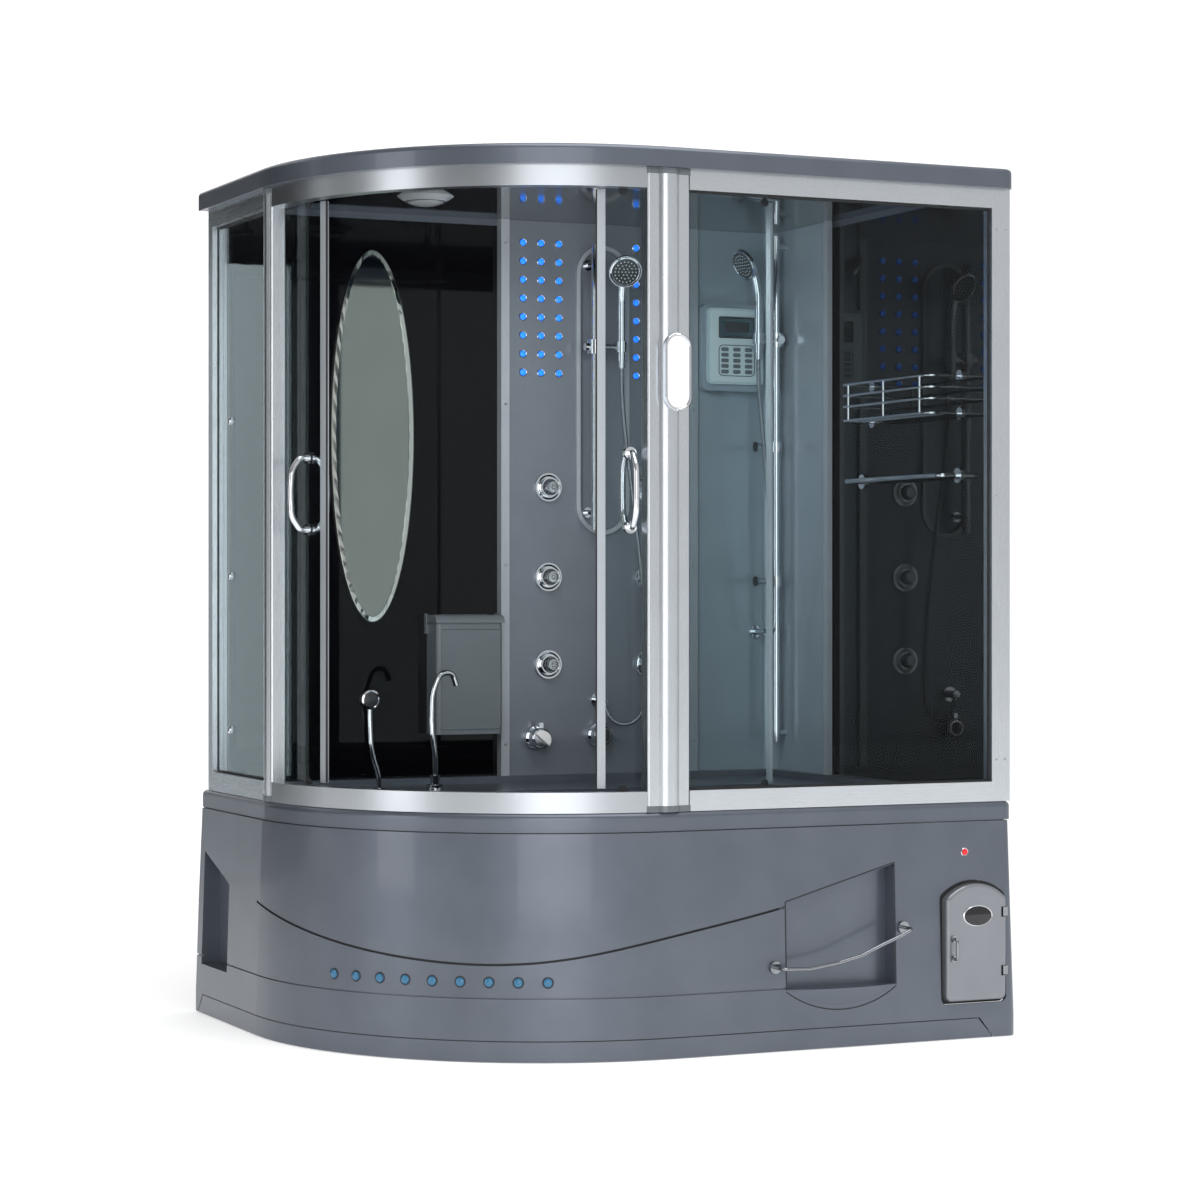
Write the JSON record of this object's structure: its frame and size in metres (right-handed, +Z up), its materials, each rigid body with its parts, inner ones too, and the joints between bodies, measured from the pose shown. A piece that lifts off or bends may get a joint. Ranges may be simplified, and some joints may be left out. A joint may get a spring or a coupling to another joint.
{
  "type": "steam shower cabin",
  "caption": "Corner steam shower cabin on a bath tub, with curved sliding glass doors, a shower column, hand showers, side jets, and an apron with niches and a cooler.",
  "frame": {"origin": "middle of the bounding box's base, on the floor", "axes": "+Z up, -Y out of the front, +X to the right seen from the front"},
  "size_m": [1.76, 1.366, 2.2],
  "materials": {
    "acrylic_grey": "metallic grey gloss acrylic",
    "apron_lamps": "translucent blue lens, one red",
    "steel_frame": "zinc-plated square tube",
    "feet": "black",
    "waste_trap": "white polypropylene",
    "steam_generator": "stainless tank",
    "brass_inlets": "machined",
    "chrome": "polished",
    "cooler_liner": "white moulded liner",
    "cooler_door": "silver",
    "aluminium": "satin anodised",
    "clear_glass": "clear tempered",
    "black_glass": "back-painted black, glossy",
    "ceiling_light": "opal cover",
    "led_lamps": "translucent blue lens",
    "control_panel": "printed membrane on plastic",
    "mirror": "silvered glass",
    "storage_box": "light grey",
    "hose": "wound metal hose",
    "knob": "polished, white cap"
  },
  "bodies": {
    "cabin": {"tub_shell": "acrylic_grey", "apron": "acrylic_grey", "plinth_panel": "acrylic_grey", "base_frame": "steel_frame", "levelling_feet": "feet", "waste_trap": "waste_trap", "steam_generator": "steam_generator", "water_inlets": "brass_inlets", "apron_lamps": "apron_lamps", "apron_rail": "chrome", "cooler_liner": "cooler_liner", "cooler_hinges": "chrome", "post_left": "aluminium", "post_centre": "aluminium", "wall_profiles": "aluminium", "post_plate": "aluminium", "curved_rails": "aluminium", "straight_rails": "aluminium", "glass_front": "clear_glass", "glass_side": "clear_glass", "door_tracks": "aluminium", "back_wall": "black_glass", "right_wall": "black_glass", "roof": "acrylic_grey", "ceiling_light": "ceiling_light", "main_column": "acrylic_grey", "column_trims": "aluminium", "led_lamps": "led_lamps", "body_jets": "chrome", "corner_panel": "acrylic_grey", "control_panel": "control_panel", "slide_rails": "chrome", "hose_main": "hose", "hose_side": "hose", "mirror": "mirror", "wall_shelf": "chrome", "towel_rail": "chrome", "storage_box": "storage_box", "hose_outlets": "chrome", "deck_tap": "chrome"},
    "door_left": {"door_left_glass": "clear_glass", "door_left_stiles": "aluminium", "door_left_handle": "chrome", "door_left_rollers": "chrome"},
    "door_right": {"door_right_glass": "clear_glass", "door_right_stiles": "aluminium", "door_right_handle": "chrome", "door_right_rollers": "chrome"},
    "cooler_door": {"cooler_door": "cooler_door", "cooler_latch": "chrome"},
    "slider_main": {"slider_main": "chrome"},
    "slider_side": {"slider_side": "chrome"},
    "handset_main": {"handset_main": "chrome"},
    "handset_side": {"handset_side": "chrome"},
    "knob_left": {"mixer_knob_left": "knob"},
    "knob_centre": {"mixer_knob_centre": "knob"},
    "nozzle_upper": {"nozzle_upper": "chrome"},
    "nozzle_lower": {"nozzle_lower": "chrome"},
    "storage_lid": {"storage_lid": "storage_box"},
    "tub_spout": {"tub_spout": "chrome"}
  },
  "joints": [
    {"name": "door_right_slide", "type": "hinge", "parent": "cabin", "child": "door_right", "pos_m": [-0.08, 0.163, 0.65], "axis": [0, 0, 1], "range_deg": [-32.6, 0]},
    {"name": "door_left_slide", "type": "hinge", "parent": "cabin", "child": "door_left", "pos_m": [-0.08, 0.163, 0.65], "axis": [0, 0, 1], "range_deg": [0, 26.9]},
    {"name": "cooler_door_hinge", "type": "hinge", "parent": "cabin", "child": "cooler_door", "pos_m": [0.835, -0.642, 0.244], "axis": [0, 0, 1], "range_deg": [0, 95]},
    {"name": "slider_main_slide", "type": "slide", "parent": "cabin", "child": "slider_main", "axis": [0, 0, 1], "range_m": [-0.4, 0.09], "deforming": ["hose_main"]},
    {"name": "slider_side_slide", "type": "slide", "parent": "cabin", "child": "slider_side", "axis": [0, 0, 1], "range_m": [-0.2, 0.05], "deforming": ["hose_side"]},
    {"name": "handset_main_turn", "type": "hinge", "parent": "slider_main", "child": "handset_main", "pos_m": [0.33, 0.563, 1.815], "axis": [0, 0, 1], "range_deg": [-40, 40]},
    {"name": "handset_side_turn", "type": "hinge", "parent": "slider_side", "child": "handset_side", "pos_m": [0.742, 0.523, 1.85], "axis": [0, 0, 1], "range_deg": [-20, 50]},
    {"name": "mixer_left_turn", "type": "hinge", "parent": "cabin", "child": "knob_left", "pos_m": [0.1, 0.613, 0.716], "axis": [0, -1, 0], "range_deg": [-90, 90]},
    {"name": "mixer_centre_turn", "type": "hinge", "parent": "cabin", "child": "knob_centre", "pos_m": [0.291, 0.613, 0.721], "axis": [0, -1, 0], "range_deg": [-90, 90]},
    {"name": "nozzle_upper_swivel", "type": "hinge", "parent": "cabin", "child": "nozzle_upper", "pos_m": [0.82, 0.561, 1.543], "axis": [0, 0, 1], "range_deg": [-45, 20]},
    {"name": "nozzle_lower_swivel", "type": "hinge", "parent": "cabin", "child": "nozzle_lower", "pos_m": [0.82, 0.561, 1.157], "axis": [0, 0, 1], "range_deg": [-45, 20]},
    {"name": "storage_lid_hinge", "type": "hinge", "parent": "cabin", "child": "storage_lid", "pos_m": [-0.1225, 0.653, 1.058], "axis": [-1, 0, 0], "range_deg": [0, 75]},
    {"name": "tub_spout_swivel", "type": "hinge", "parent": "cabin", "child": "tub_spout", "pos_m": [-0.298, 0.403, 0.62], "axis": [0, 0, 1], "range_deg": [-90, 60]}
  ]
}
